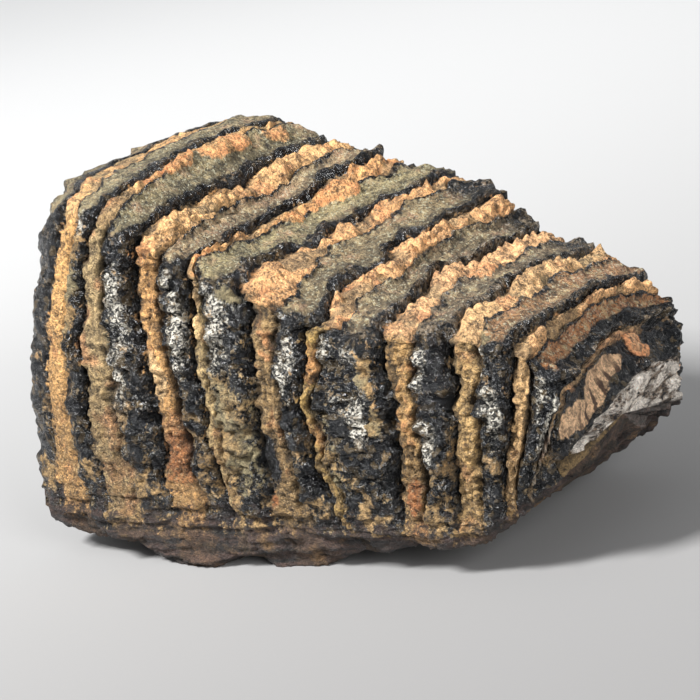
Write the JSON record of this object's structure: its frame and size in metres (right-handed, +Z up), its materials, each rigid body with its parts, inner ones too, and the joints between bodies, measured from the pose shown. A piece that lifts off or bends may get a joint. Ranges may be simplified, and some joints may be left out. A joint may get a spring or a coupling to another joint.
{
  "type": "fossil mammoth molar",
  "caption": "Fossil mammoth molar: a block of flat enamel plates bedded in cement, with a stepped chewing surface and broken roots on which it rests.",
  "frame": {"origin": "middle of the footprint, at the level of the surface that the broken roots rest on", "axes": "+X along the tooth from its tall back end to its worn front end, +Y across it from the side with bare ridges to the other side, +Z up from the roots to the chewing surface"},
  "size_m": [0.1572, 0.0894, 0.0912],
  "materials": {
    "fossil_tooth": "mineralised tooth: glossy blue-black enamel, granular tan to orange cement, dull olive-grey dentine"
  },
  "bodies": {
    "root": {"mammoth_tooth": "fossil_tooth"}
  },
  "joints": []
}
